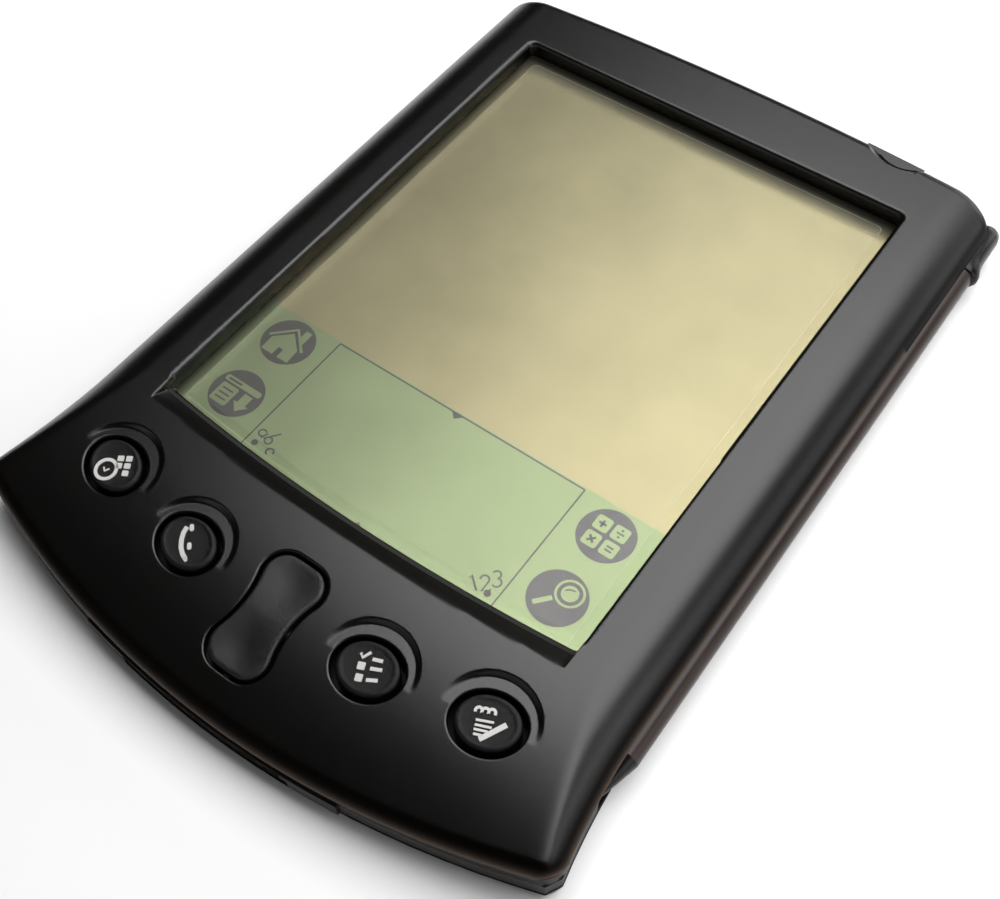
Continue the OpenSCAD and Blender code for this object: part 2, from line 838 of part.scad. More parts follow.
module battery_cell() {
  y1 = battery_y1 - 2.5;
  z1 = battery_z + battery_t;
  color([0.55, 0.57, 0.6]) {
    block([-battery_w / 2, battery_y0, battery_z], [battery_w / 2, y1, z1]);
    block([-battery_w / 2 + 3, y1, battery_z + 0.4], [battery_w / 2 - 3, battery_y1, z1 - 0.4]);
  }
}

module battery_tape() {
  color([0.9, 0.88, 0.8]) block([-battery_w / 2 + 4, battery_y0 + 4, rear_wall],
    [battery_w / 2 - 4, battery_y1 - 6, battery_z]);
}

module battery_leads() {
  color([0.7, 0.1, 0.1]) for (x = lead_x)
    translate([x, battery_y1, lead_z]) rotate([-90, 0, 0])
      cylinder(r = lead_r, h = board_y0 + 1 - battery_y1, $fn = round_fn);
}

module battery_plug() {
  color([0.9, 0.9, 0.88]) chip((lead_x[0] + lead_x[1]) / 2, board_y0 + 3, 6, 4, 1.7);
}

module dock_connector() {
  color([0.08, 0.08, 0.08]) difference() {
    intersection() {
      dock_space(0);
      translate([0, bottom_cy, 0]) cylinder(r = bottom_arc_r + dock_proud - 0.2, h = body_t,
        $fn = fine);
      block([-big, bottom_y - 2, 0], [big, bottom_y + dock_l, body_t]);
    }
    block([-dock_w / 2 + 1.2, bottom_y - 2, dock_z + 0.5], [dock_w / 2 - 1.2, bottom_y + 2,
      dock_z + dock_h - 0.5]);
  }
}

module dock_contacts() {
  color([0.85, 0.7, 0.3]) for (k = [0:dock_contact_n - 1])
    block([(k - (dock_contact_n - 1) / 2) * dock_pitch - 0.35, bottom_y + 0.7, dock_z + 0.5],
      [(k - (dock_contact_n - 1) / 2) * dock_pitch + 0.35, bottom_y + 2, dock_z + 0.7]);
}

module key_board() {
  color([0.1, 0.35, 0.2]) translate([0, 0, key_board_z]) linear_extrude(board_t)
    intersection() {
      plan(cavity_in + 0.1);
      translate([-big / 2, shell_bottom_y + 3.4]) square([big, key_board_y1 - shell_bottom_y - 3.4]);
    }
}

// One snap dome: the cap of a sphere.
module dome() {
  ball_r = (dome_r * dome_r + dome_h * dome_h) / (2 * dome_h);
  rotate_extrude($fn = round_fn) intersection() {
    translate([0, dome_h - ball_r]) circle(r = ball_r, $fn = fine);
    square([dome_r, dome_h]);
  }
}

module key_domes() {
  color([0.8, 0.8, 0.82]) translate([0, 0, key_board_z + board_t]) {
    for (b = BUTTONS) translate([b[0], b[1]]) dome();
    for (s = [-1, 1]) translate([0, rocker_y + s * rocker_plunger_y]) dome();
  }
}

// An application button: oval cap, flange and plunger.
module app_button(k) {
  top_z = front_z(BUTTONS[k][1]) + cap_proud;
  color([0.1, 0.1, 0.1]) at_button(k) {
    translate([0, 0, flange_z]) linear_extrude(top_z - flange_z)
      oval(hole_a - cap_gap, hole_b - cap_gap);
    translate([0, 0, flange_z]) linear_extrude(flange_t) oval(hole_a + 0.6, hole_b + 0.4);
    translate([0, 0, plunger_z]) cylinder(r = 1, h = flange_z - plunger_z, $fn = round_fn);
  }
}

module button_calendar() {
  app_button(0);
}

module button_phone() {
  app_button(1);
}

module button_tasks() {
  app_button(2);
}

module button_notes() {
  app_button(3);
}

module scroll_rocker() {
  floor_z = rocker_pivot_z + 0.2;
  color([0.12, 0.12, 0.12]) difference() {
    union() {
      intersection() {
        translate([0, rocker_y, floor_z]) linear_extrude(body_t) hourglass(rocker_gap);
        translate([0, slope_y, body_t - slope_r]) rotate([0, 90, 0])
          cylinder(r = slope_r + cap_proud, h = big, center = true, $fn = 2 * fine);
      }
      translate([0, rocker_y, rocker_pivot_z]) rotate([0, 90, 0])
        cylinder(r = rocker_boss_r, h = 5.6, center = true, $fn = round_fn);
      for (s = [-1, 1]) translate([0, rocker_y + s * rocker_plunger_y, dome_top_z + 0.4])
        cylinder(r = 0.9, h = floor_z - dome_top_z - 0.4, $fn = round_fn);
    }
    translate([0, rocker_y, rocker_pivot_z]) rotate([0, 90, 0])
      cylinder(r = rocker_pin_r + rail_clear, h = 8, center = true, $fn = round_fn);
  }
}

module rocker_pin() {
  color([0.75, 0.75, 0.77]) translate([0, rocker_y, rocker_pivot_z]) rotate([0, 90, 0])
    cylinder(r = rocker_pin_r, h = 2 * (ear_x + ear_t), center = true, $fn = round_fn);
}

module rocker_bracket() {
  color([0.2, 0.2, 0.21]) difference() {
    for (s = [-1, 1]) {
      x = s * (ear_x + ear_t / 2);
      block([x - ear_t / 2, rocker_y - 1.2, key_board_z + board_t], [x + ear_t / 2,
        rocker_y + 1.2, rocker_pivot_z + 0.75]);
    }
    translate([0, rocker_y, rocker_pivot_z]) rotate([0, 90, 0])
      cylinder(r = rocker_pin_r, h = 20, center = true, $fn = round_fn);
  }
}

// Puts a revolved piece on the axis of the stylus, with its own Z along the stylus.
module on_stylus(y) {
  translate([rail_x, y, rail_z]) rotate([-90, 0, 0]) children();
}

module stylus_barrel() {
  color([0.16, 0.15, 0.15]) difference() {
    on_stylus(barrel_y0) cylinder(r = stylus_r, h = head_y0 - barrel_y0, $fn = round_fn);
    on_stylus(barrel_y0 - 1) cylinder(r = bore_r, h = body_l, $fn = round_fn);
  }
}

module stylus_tip() {
  color([0.12, 0.12, 0.12]) {
    on_stylus(barrel_y0) cylinder(r = bore_r, h = tip_stem_l, $fn = round_fn);
    on_stylus(barrel_y0 - tip_l) cylinder(r1 = tip_r, r2 = stylus_r, h = tip_l, $fn = round_fn);
    on_stylus(barrel_y0 - tip_l) sphere(r = tip_r, $fn = round_fn);
  }
}

module stylus_cap() {
  round_r = 0.8;
  color([0.1, 0.1, 0.1]) difference() {
    union() {
      on_stylus(head_y0) cylinder(r = head_r, h = head_l - round_r, $fn = round_fn);
      on_stylus(top_y - round_r) rotate_extrude($fn = round_fn) intersection() {
        union() {
          square([head_r - round_r, round_r]);
          translate([head_r - round_r, 0]) circle(r = round_r, $fn = round_fn);
        }
        square(4);
      }
      translate([catch_out, 0, 0]) on_stylus(head_y0) cylinder(r = catch_r, h = catch_l,
        $fn = round_fn);
      on_stylus(head_y0 - spigot_l) cylinder(r = bore_r - rail_clear, h = spigot_l + 1,
        $fn = round_fn);
    }
    on_stylus(head_y0 - spigot_l - 1) cylinder(r = pin_r, h = spigot_l + 3, $fn = round_fn);
  }
}

module reset_pin() {
  color([0.75, 0.75, 0.77]) on_stylus(head_y0 + 2 - pin_l) cylinder(r = pin_r, h = pin_l,
    $fn = round_fn);
}

front_shell();
rear_shell();
mid_frame();
shell_adhesive();
rear_adhesive();
window_gasket();
screen_protector();
touch_panel();
writing_print();
writing_backer();
lcd_glass();
backlight_panel();
lcd_frame();
lcd_flex();
touch_flex();
key_flex();
main_board();
processor_chip();
memory_chips();
crystal_can();
small_components();
shield_can();
reset_switch();
power_switch();
contrast_switch();
ir_transceiver();
ir_window();
piezo_speaker();
battery_cell();
battery_tape();
battery_leads();
battery_plug();
dock_connector();
dock_contacts();
key_board();
key_domes();
rocker_bracket();
rocker_pin();
scroll_rocker();
button_calendar();
button_phone();
button_tasks();
button_notes();
power_button();
contrast_button();
board_screws();
rear_label();
stylus_barrel();
stylus_tip();
stylus_cap();
reset_pin();
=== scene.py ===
import math

import bpy
import numpy as np
from mathutils import Matrix, Vector, geometry


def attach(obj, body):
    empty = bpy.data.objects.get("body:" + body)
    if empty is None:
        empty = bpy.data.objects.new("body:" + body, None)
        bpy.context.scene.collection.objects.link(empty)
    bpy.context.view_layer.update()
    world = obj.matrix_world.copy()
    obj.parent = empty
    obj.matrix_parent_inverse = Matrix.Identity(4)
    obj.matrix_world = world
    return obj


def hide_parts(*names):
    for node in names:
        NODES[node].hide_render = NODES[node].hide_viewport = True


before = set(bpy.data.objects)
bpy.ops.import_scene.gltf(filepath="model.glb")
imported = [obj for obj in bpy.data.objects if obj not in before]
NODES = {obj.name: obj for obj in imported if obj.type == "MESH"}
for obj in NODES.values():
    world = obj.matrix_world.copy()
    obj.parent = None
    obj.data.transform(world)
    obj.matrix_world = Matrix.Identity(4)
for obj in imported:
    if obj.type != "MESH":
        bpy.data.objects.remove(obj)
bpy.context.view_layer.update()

MM = 0.001

# ---- sizes of the object, in millimetres, the same as the solid model's ----
BODY_L, BODY_T, HALF_W = 115.0, 10.2, 39.6
TOP_Y, BOTTOM_Y = BODY_L / 2, -BODY_L / 2
LIP_Z, LIP_LOW_Z = 5.5, 3.9
SIDE_R, SIDE_IN = 7.0, 6.6
TOP_EDGE_R, BOTTOM_EDGE_R = 1.8, 1.5
BOTTOM_ARC_R, TOP_ARC_R = 119.0, 440.0
FLARE_Y, FLARE_R = BOTTOM_Y + 26.5, 85.0
SLOPE_Y, SLOPE_R = BOTTOM_Y + 28.5, 95.0
SHELL_BOTTOM_Y = BOTTOM_Y + 0.3
BOTTOM_CY = SHELL_BOTTOM_Y + BOTTOM_ARC_R
TOP_CY = TOP_Y - TOP_ARC_R
CORNER_R = 2.6
WIN_W, WIN_TOP, WIN_BOTTOM = 59.6, TOP_Y - 10.7, TOP_Y - 10.7 - 77.2
WIN_ARC_R = 278.0
WIN_CY = WIN_BOTTOM + WIN_ARC_R
WIN_CORNER_R = 0.8
PANEL_TOP_Z, PANEL_Z = 7.9, 6.9
RIM_R = 0.7
SCREEN_PAST = 1.2  # how far the display and the print run past the window's sides
KEY_GAP = 0.55  # between a key and its hole
RAMP_L, RAMP_DROP = 3.3, 2.05
HOLE_A, HOLE_B, HOLE_ROUND = 4.25, 3.5, 0.3
SCOOP_R, SCOOP_DROP = 5.45, 0.66
KEYS = [(-26.87, BOTTOM_Y + 16.3, -16, "calendar"), (-12.97, BOTTOM_Y + 13.8, -8, "phone"),
        (12.97, BOTTOM_Y + 13.8, 8, "tasks"), (26.87, BOTTOM_Y + 16.3, 16, "notes")]
ROCKER_Y, WAIST = BOTTOM_Y + 12.3, 3.47
LOBE_X, LOBE_Y, LOBE_R = 1.25, 4.5, 2.95
DENT_X = (LOBE_X ** 2 + LOBE_Y ** 2 - (WAIST - LOBE_R) ** 2) / (2 * (LOBE_X - WAIST + LOBE_R))
DENT_R = DENT_X - WAIST
RAIL_X, RAIL_Z = HALF_W - 0.4, 3.4
TOP_KEY_Z = 8.65
THUMB_X, THUMB_Y, THUMB_R, THUMB_SLOPE = 24.55, TOP_Y + 2.83, 6.28, 0.94


# ---- materials ----
DULL_SPEC = 0.02


def material(name, base, rough=0.5, metal=0.0, grain=0.25, bump=0.02, vary=0.12, patch=9.0,
             alpha=1.0, spec=0.5, rough_vary=0.08, wear=None, shade=None):
    """A surface with fine grain (size grain mm, height bump mm) and slow patches (patch mm).

    wear is a tone and the vertex attribute that mixes it in; shade is the attribute that dulls.
    """
    m = bpy.data.materials.new(name)
    m.use_nodes = True
    nt = m.node_tree
    n, link = nt.nodes, nt.links.new
    bsdf = n["Principled BSDF"]
    bsdf.inputs["Metallic"].default_value = metal
    bsdf.inputs["Specular IOR Level"].default_value = spec
    bsdf.inputs["Alpha"].default_value = alpha
    if shade:
        mask = n.new("ShaderNodeAttribute")
        mask.attribute_name = shade
        level = n.new("ShaderNodeMapRange")
        level.inputs["To Min"].default_value = spec
        level.inputs["To Max"].default_value = DULL_SPEC
        link(mask.outputs["Fac"], level.inputs["Value"])
        link(level.outputs["Result"], bsdf.inputs["Specular IOR Level"])
    where = n.new("ShaderNodeTexCoord")
    slow = n.new("ShaderNodeTexNoise")
    slow.inputs["Scale"].default_value = 1 / (patch * MM)
    slow.inputs["Detail"].default_value = 4
    link(where.outputs["Object"], slow.inputs["Vector"])
    ramp = n.new("ShaderNodeValToRGB")
    ramp.color_ramp.elements[0].position = 0.3
    ramp.color_ramp.elements[1].position = 0.7
    for k, e in enumerate(ramp.color_ramp.elements):
        e.color = [c * (1 + (2 * k - 1) * vary) for c in base] + [1]
    link(slow.outputs["Fac"], ramp.inputs["Fac"])
    colour = ramp.outputs["Color"]
    if wear:
        tone, attribute = wear
        a = n.new("ShaderNodeAttribute")
        a.attribute_name = attribute
        mix = n.new("ShaderNodeMix")
        mix.data_type = "RGBA"
        link(a.outputs["Fac"], mix.inputs["Factor"])
        link(colour, mix.inputs["A"])
        mix.inputs["B"].default_value = (*tone, 1)
        colour = mix.outputs["Result"]
    link(colour, bsdf.inputs["Base Color"])
    fine = n.new("ShaderNodeTexNoise")
    fine.inputs["Detail"].default_value = 3
    fine.inputs["Scale"].default_value = 1 / (grain * MM)
    link(where.outputs["Object"], fine.inputs["Vector"])
    b = n.new("ShaderNodeBump")
    b.inputs["Strength"].default_value = 1.0
    b.inputs["Distance"].default_value = bump * MM
    link(fine.outputs["Fac"], b.inputs["Height"])
    link(b.outputs["Normal"], bsdf.inputs["Normal"])
    r = n.new("ShaderNodeMapRange")
    r.inputs["To Min"].default_value = max(rough - rough_vary, 0.02)
    r.inputs["To Max"].default_value = min(rough + rough_vary, 1)
    link(slow.outputs["Fac"], r.inputs["Value"])
    link(r.outputs["Result"], bsdf.inputs["Roughness"])
    return m


COAT = material("charcoal_coat", (0.0012, 0.0009, 0.0007), rough=0.25, grain=0.13, bump=0.022,
                vary=0.12, patch=14, rough_vary=0.015, spec=0.5, wear=((0.10, 0.072, 0.055), "wear"),
                shade="shade")
REAR_COAT = material("rear_coat", (0.0012, 0.0009, 0.0007), rough=0.3, grain=0.16, bump=0.012,
                     patch=14, rough_vary=0.015, spec=0.3)
FRAME_PLASTIC = material("frame_plastic", (0.006, 0.005, 0.005), rough=0.5, grain=0.3, bump=0.015,
                         spec=0.2)
KEY_PLASTIC = material("key_plastic", (0.002, 0.002, 0.002), rough=0.22, grain=0.11, bump=0.10,
                       spec=0.3)
KEY_ICON = material("key_icon", (0.62, 0.60, 0.58), rough=0.45, grain=0.2, bump=0.01)
ROCKER_SKIN = material("rocker_skin", (0.003, 0.003, 0.003), rough=0.24, grain=0.15, bump=0.10)
DARK_MASK = material("dark_solder_mask", (0.003, 0.004, 0.003), rough=0.5, grain=0.5, bump=0.01,
                     spec=0.2)
LCD = material("lcd_surface", (0.275, 0.245, 0.135), rough=0.36, metal=0.85, grain=0.5, bump=0.004,
               vary=0.09, patch=12, rough_vary=0.03)
PRINT = material("writing_print", (0.200, 0.245, 0.128), rough=0.36, metal=0.8, grain=0.28,
                 bump=0.009, vary=0.06, patch=9, rough_vary=0.03)
INK = material("print_ink", (0.072, 0.070, 0.072), rough=0.34, metal=0.8, grain=0.4, bump=0.004,
               rough_vary=0.02)
GLASS = material("panel_glass", (0.5, 0.5, 0.42), rough=0.1, grain=1.0, bump=0.001, alpha=0.03)
FILM = material("protector_film", (0.5, 0.5, 0.42), rough=0.25, grain=0.6, bump=0.003, alpha=0.03)
# painted highlight: a pale see-through tone stands in for light caught by the protector film's cut edge
FILM_EDGE_HIGHLIGHT = material("film_edge_highlight", (0.85, 0.88, 0.80), rough=0.35, alpha=0.22)
STEEL = material("steel", (0.55, 0.55, 0.57), rough=0.3, metal=1.0, grain=0.2, bump=0.004)
BRASS = material("brass", (0.75, 0.55, 0.22), rough=0.3, metal=1.0, grain=0.2, bump=0.004)
BOARD = material("solder_mask", (0.02, 0.12, 0.05), rough=0.35, grain=0.5, bump=0.01)
PACKAGE = material("chip_package", (0.02, 0.02, 0.022), rough=0.55, grain=0.15, bump=0.006)
AMBER = material("flex_film", (0.45, 0.22, 0.05), rough=0.3, grain=0.5, bump=0.003)
POUCH = material("battery_pouch", (0.40, 0.41, 0.43), rough=0.35, metal=0.8, grain=0.8, bump=0.01)
PALE = material("pale_part", (0.55, 0.52, 0.45), rough=0.6, grain=0.3, bump=0.01)
FOAM = material("gasket_foam", (0.012, 0.012, 0.012), rough=0.85, grain=0.2, bump=0.04)
RED = material("lead_sleeve", (0.35, 0.02, 0.02), rough=0.4, grain=0.3, bump=0.01)
IR_RED = material("ir_window", (0.03, 0.004, 0.006), rough=0.12, grain=0.6, bump=0.002)
LABEL = material("blank_label", (0.05, 0.05, 0.052), rough=0.6, grain=0.2, bump=0.01)
STYLUS_COAT = material("stylus_coat", (0.022, 0.013, 0.010), rough=0.3, grain=0.2, bump=0.006,
                       spec=0.3)
HEAD_PLASTIC = material("head_plastic", (0.003, 0.0025, 0.0025), rough=0.25, grain=0.3, bump=0.01,
                        spec=0.25)
TOP_KEY = material("top_key", (0.013, 0.015, 0.012), rough=0.3, grain=0.25, bump=0.012)
# painted shadow: a near-black tone that stands in for the shade inside the power button's seam
PAINTED_SEAM_SHADOW = material("seam_shadow", (0.0008, 0.0008, 0.0008), rough=0.8, grain=0.2, bump=0.01, spec=0.05)

SURFACES = {
    "front_shell": COAT, "rear_shell": REAR_COAT, "mid_frame": FRAME_PLASTIC,
    "shell_adhesive": PALE, "rear_adhesive": PALE, "window_gasket": FOAM,
    "screen_protector": FILM, "touch_panel": GLASS, "writing_print": PRINT,
    "writing_backer": PALE, "lcd_glass": LCD, "backlight_panel": PALE,
    "lcd_frame": FRAME_PLASTIC, "lcd_flex": AMBER, "touch_flex": AMBER, "key_flex": AMBER,
    "main_board": BOARD, "processor_chip": PACKAGE, "memory_chips": PACKAGE,
    "crystal_can": STEEL, "small_components": PALE, "shield_can": STEEL,
    "reset_switch": PACKAGE, "power_switch": PACKAGE, "contrast_switch": PACKAGE,
    "ir_transceiver": IR_RED, "ir_window": IR_RED, "piezo_speaker": BRASS,
    "battery_cell": POUCH, "battery_tape": PALE, "battery_leads": RED, "battery_plug": PALE,
    "dock_connector": FRAME_PLASTIC, "dock_contacts": BRASS, "key_board": DARK_MASK,
    "key_domes": STEEL, "rocker_bracket": FRAME_PLASTIC, "rocker_pin": STEEL,
    "scroll_rocker": ROCKER_SKIN, "button_calendar": KEY_PLASTIC, "button_phone": KEY_PLASTIC,
    "button_tasks": KEY_PLASTIC, "button_notes": KEY_PLASTIC, "power_button": TOP_KEY,
    "contrast_button": TOP_KEY, "board_screws": STEEL, "rear_label": LABEL,
    "stylus_barrel": STYLUS_COAT, "stylus_tip": HEAD_PLASTIC, "stylus_cap": HEAD_PLASTIC,
    "reset_pin": STEEL}
for name, surface in SURFACES.items():
    NODES[name].data.materials.clear()
    NODES[name].data.materials.append(surface)


# ---- mesh helpers; every shape is given in millimetres ----
def piece(name, verts, faces, surface, body, normals=None, smooth=True, attributes=None):
    """A mesh piece, in millimetres, that rides on a body."""
    mesh = bpy.data.meshes.new(name)
    mesh.from_pydata([tuple(float(c) * MM for c in v) for v in verts], [], faces)
    mesh.validate()
    mesh.polygons.foreach_set("use_smooth", [smooth] * len(mesh.polygons))
    mesh.materials.append(surface)
    for key, values in (attributes or {}).items():
        layer = mesh.attributes.new(key, "FLOAT", "POINT")
        layer.data.foreach_set("value", np.asarray(values, np.float32))
    if normals is not None:
        mesh.normals_split_custom_set_from_vertices([tuple(map(float, v)) for v in normals])
    obj = bpy.data.objects.new(name, mesh)
    bpy.context.scene.collection.objects.link(obj)
    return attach(obj, body)


def loft(rings, close_first=False, close_last=False):
    """Vertices and faces that join closed rings of equal length, one after the other."""
    n = len(rings[0])
    verts = [p for ring in rings for p in ring]
    faces = []
    for k in range(len(rings) - 1):
        for i in range(n):
            j = (i + 1) % n
            faces.append((k * n + i, k * n + j, (k + 1) * n + j, (k + 1) * n + i))
    if close_first:
        verts.append(tuple(np.mean(rings[0], axis=0)))
        faces += [((i + 1) % n, i, len(verts) - 1) for i in range(n)]
    if close_last:
        base = (len(rings) - 1) * n
        verts.append(tuple(np.mean(rings[-1], axis=0)))
        faces += [(base + i, base + (i + 1) % n, len(verts) - 1) for i in range(n)]
    return verts, faces


def turned(degrees, x, y):
    """A point turned about the origin."""
    c, s = math.cos(math.radians(degrees)), math.sin(math.radians(degrees))
    return c * x - s * y, s * x + c * y


# ---- distances that shape the front shell; each takes arrays of x and y ----
def round_min(a, b, r):
    """The smaller of two distances, with a corner of radius r where they meet."""
    corner = r - np.hypot(r - a, r - b)
    return np.where((a < r) & (b < r), corner, np.minimum(a, b))


def side_in(x, y):
    flare = np.hypot(np.abs(x) - HALF_W - FLARE_R, y - FLARE_Y) - FLARE_R
    return np.where(y > FLARE_Y, HALF_W - np.abs(x), flare)


def bottom_in(x, y):
    return BOTTOM_ARC_R - np.hypot(x, y - BOTTOM_CY)


def top_in(x, y):
    return TOP_ARC_R - np.hypot(x, y - TOP_CY)


def outline_in(x, y):
    """Distance in from the outline."""
    return round_min(round_min(side_in(x, y), bottom_in(x, y), CORNER_R), top_in(x, y), CORNER_R)


def window_in(x, y):
    """Distance in from the window's edge; negative on the shell."""
    ends = np.minimum(WIN_TOP - y, WIN_ARC_R - np.hypot(x, y - WIN_CY))
    return round_min(WIN_W / 2 - np.abs(x), ends, WIN_CORNER_R)


def key_out(x, y, k, a=HOLE_A, b=HOLE_B):
    """Distance out from the oval of key k."""
    u, v = turned(-KEYS[k][2], x - KEYS[k][0], y - KEYS[k][1])
    f = (u / a) ** 2 + (v / b) ** 2
    return (f - 1) / (2 * np.sqrt((u / a ** 2) ** 2 + (v / b ** 2) ** 2) + 1e-9)


def rocker_out(x, y):
    """Distance out from the rocker's hourglass: rounded ends and long hollow sides."""
    u, v = np.abs(x), np.abs(y - ROCKER_Y)
    past = (DENT_X - LOBE_X) * (v - LOBE_Y) + LOBE_Y * (u - LOBE_X) > 0
    corner = np.hypot(u - LOBE_X, v - LOBE_Y) - LOBE_R
    end = v - (LOBE_Y + LOBE_R) - 0.03 * (1 - (u / LOBE_X) ** 2)
    dent = DENT_R - np.hypot(u - DENT_X, v)
    return np.where(past, np.where(u > LOBE_X, corner, end), dent)


def rounding(t, r):
    """How far a rounded edge of radius r drops at a distance t in from it."""
    t = np.clip(t, 0, r)
    return r - np.sqrt(np.maximum(r * r - (r - t) ** 2, 0))


def smooth_step(a, b, v):
    t = np.clip((v - a) / (b - a), 0, 1)
    return t * t * (3 - 2 * t)


def face_z(x, y):
    """Height of the front, without holes."""
    slope = SLOPE_R - np.sqrt(np.maximum(SLOPE_R ** 2 - (SLOPE_Y - y) ** 2, 0))
    slope = np.where(y < SLOPE_Y, slope, 0)
    d = np.clip(side_in(x, y), 0, SIDE_IN)
    side = SIDE_R - np.sqrt(SIDE_R ** 2 - (SIDE_IN - d) ** 2)
    drop = (slope ** 4 + side ** 4) ** 0.25
    drop = drop + rounding(top_in(x, y), TOP_EDGE_R) + rounding(bottom_in(x, y), BOTTOM_EDGE_R)
    return BODY_T - drop


def shell_z(x, y):
    """Height of the front shell's outer surface."""
    z = face_z(x, y)
    for k, (kx, ky, turn, _) in enumerate(KEYS):
        u, v = turned(-turn * 0.5, x - kx, y - ky)
        r = np.hypot(0.96 * u, v - 0.1)
        step = 1 - smooth_step(SCOOP_R - 0.6, SCOOP_R + 0.15, r)
        z = z - SCOOP_DROP * np.clip(v / SCOOP_R, 0, 1) * step
        z = z - rounding(key_out(x, y, k), HOLE_ROUND)
    z = z - rounding(rocker_out(x, y), HOLE_ROUND)
    z = np.minimum(z, BODY_T - 0.08 - THUMB_SLOPE * thumb_in(x, y))
    below = np.hypot(x, y - WIN_CY) - WIN_ARC_R
    ramp = RAMP_DROP * np.clip(1 - below / RAMP_L, 0, 1) ** 1.25
    ramp = ramp * (1 - smooth_step(WIN_W / 2 - 0.1, WIN_W / 2 + 0.25, np.abs(x))) * (y < 0)
    t = -window_in(x, y)
    rim = rounding(t, RIM_R) * (1 - smooth_step(-0.2, 0.4, below) * (np.abs(x) < WIN_W / 2) * 0.8)
    return z - np.maximum(ramp, 0) - np.where(ramp > 0.05, rim * 0.3, rim)


def thumb_in(x, y):
    """Distance into the half-moon scoop behind the power button."""
    return THUMB_R - np.hypot(x - THUMB_X, y - THUMB_Y)


def lip_z(y):
    """Height of the shell's lower edge."""
    return LIP_Z - (LIP_Z - LIP_LOW_Z) * smooth_step(0, 8, BOTTOM_Y + 17.0 - y)


def normals_of(x, y, h=0.012):
    """Unit normals of shell_z."""
    dx = (shell_z(x + h, y) - shell_z(x - h, y)) / (2 * h)
    dy = (shell_z(x, y + h) - shell_z(x, y - h)) / (2 * h)
    n = np.stack([-dx, -dy, np.ones_like(dx)], 1)
    return n / np.linalg.norm(n, axis=1, keepdims=True)


def cast(inside, centre, angles, reach=90.0):
    """Points where rays from a centre leave the region where inside is positive."""
    lo, hi = np.zeros_like(angles), np.full_like(angles, reach)
    c, s = np.cos(angles), np.sin(angles)
    for _ in range(40):
        mid = (lo + hi) / 2
        ok = inside(centre[0] + mid * c, centre[1] + mid * s) > 0
        lo, hi = np.where(ok, mid, lo), np.where(ok, hi, mid)
    return centre[0] + lo * c, centre[1] + lo * s


def even_angles(inside, centre, count):
    """Ray angles that space the points evenly along the edge, closer where it bends."""
    a = np.linspace(0, 2 * math.pi, 6001)[:-1]
    x, y = cast(inside, centre, a)
    dx, dy = np.roll(x, -1) - x, np.roll(y, -1) - y
    heading = np.unwrap(np.arctan2(dy, dx))
    bend = np.abs(np.diff(np.append(heading, heading[0] + 2 * math.pi)))
    way = np.concatenate([[0], np.cumsum(np.hypot(dx, dy) + 2.5 * bend)])
    return np.interp(np.linspace(0, way[-1], count + 1)[:-1], way, np.append(a, 2 * math.pi))


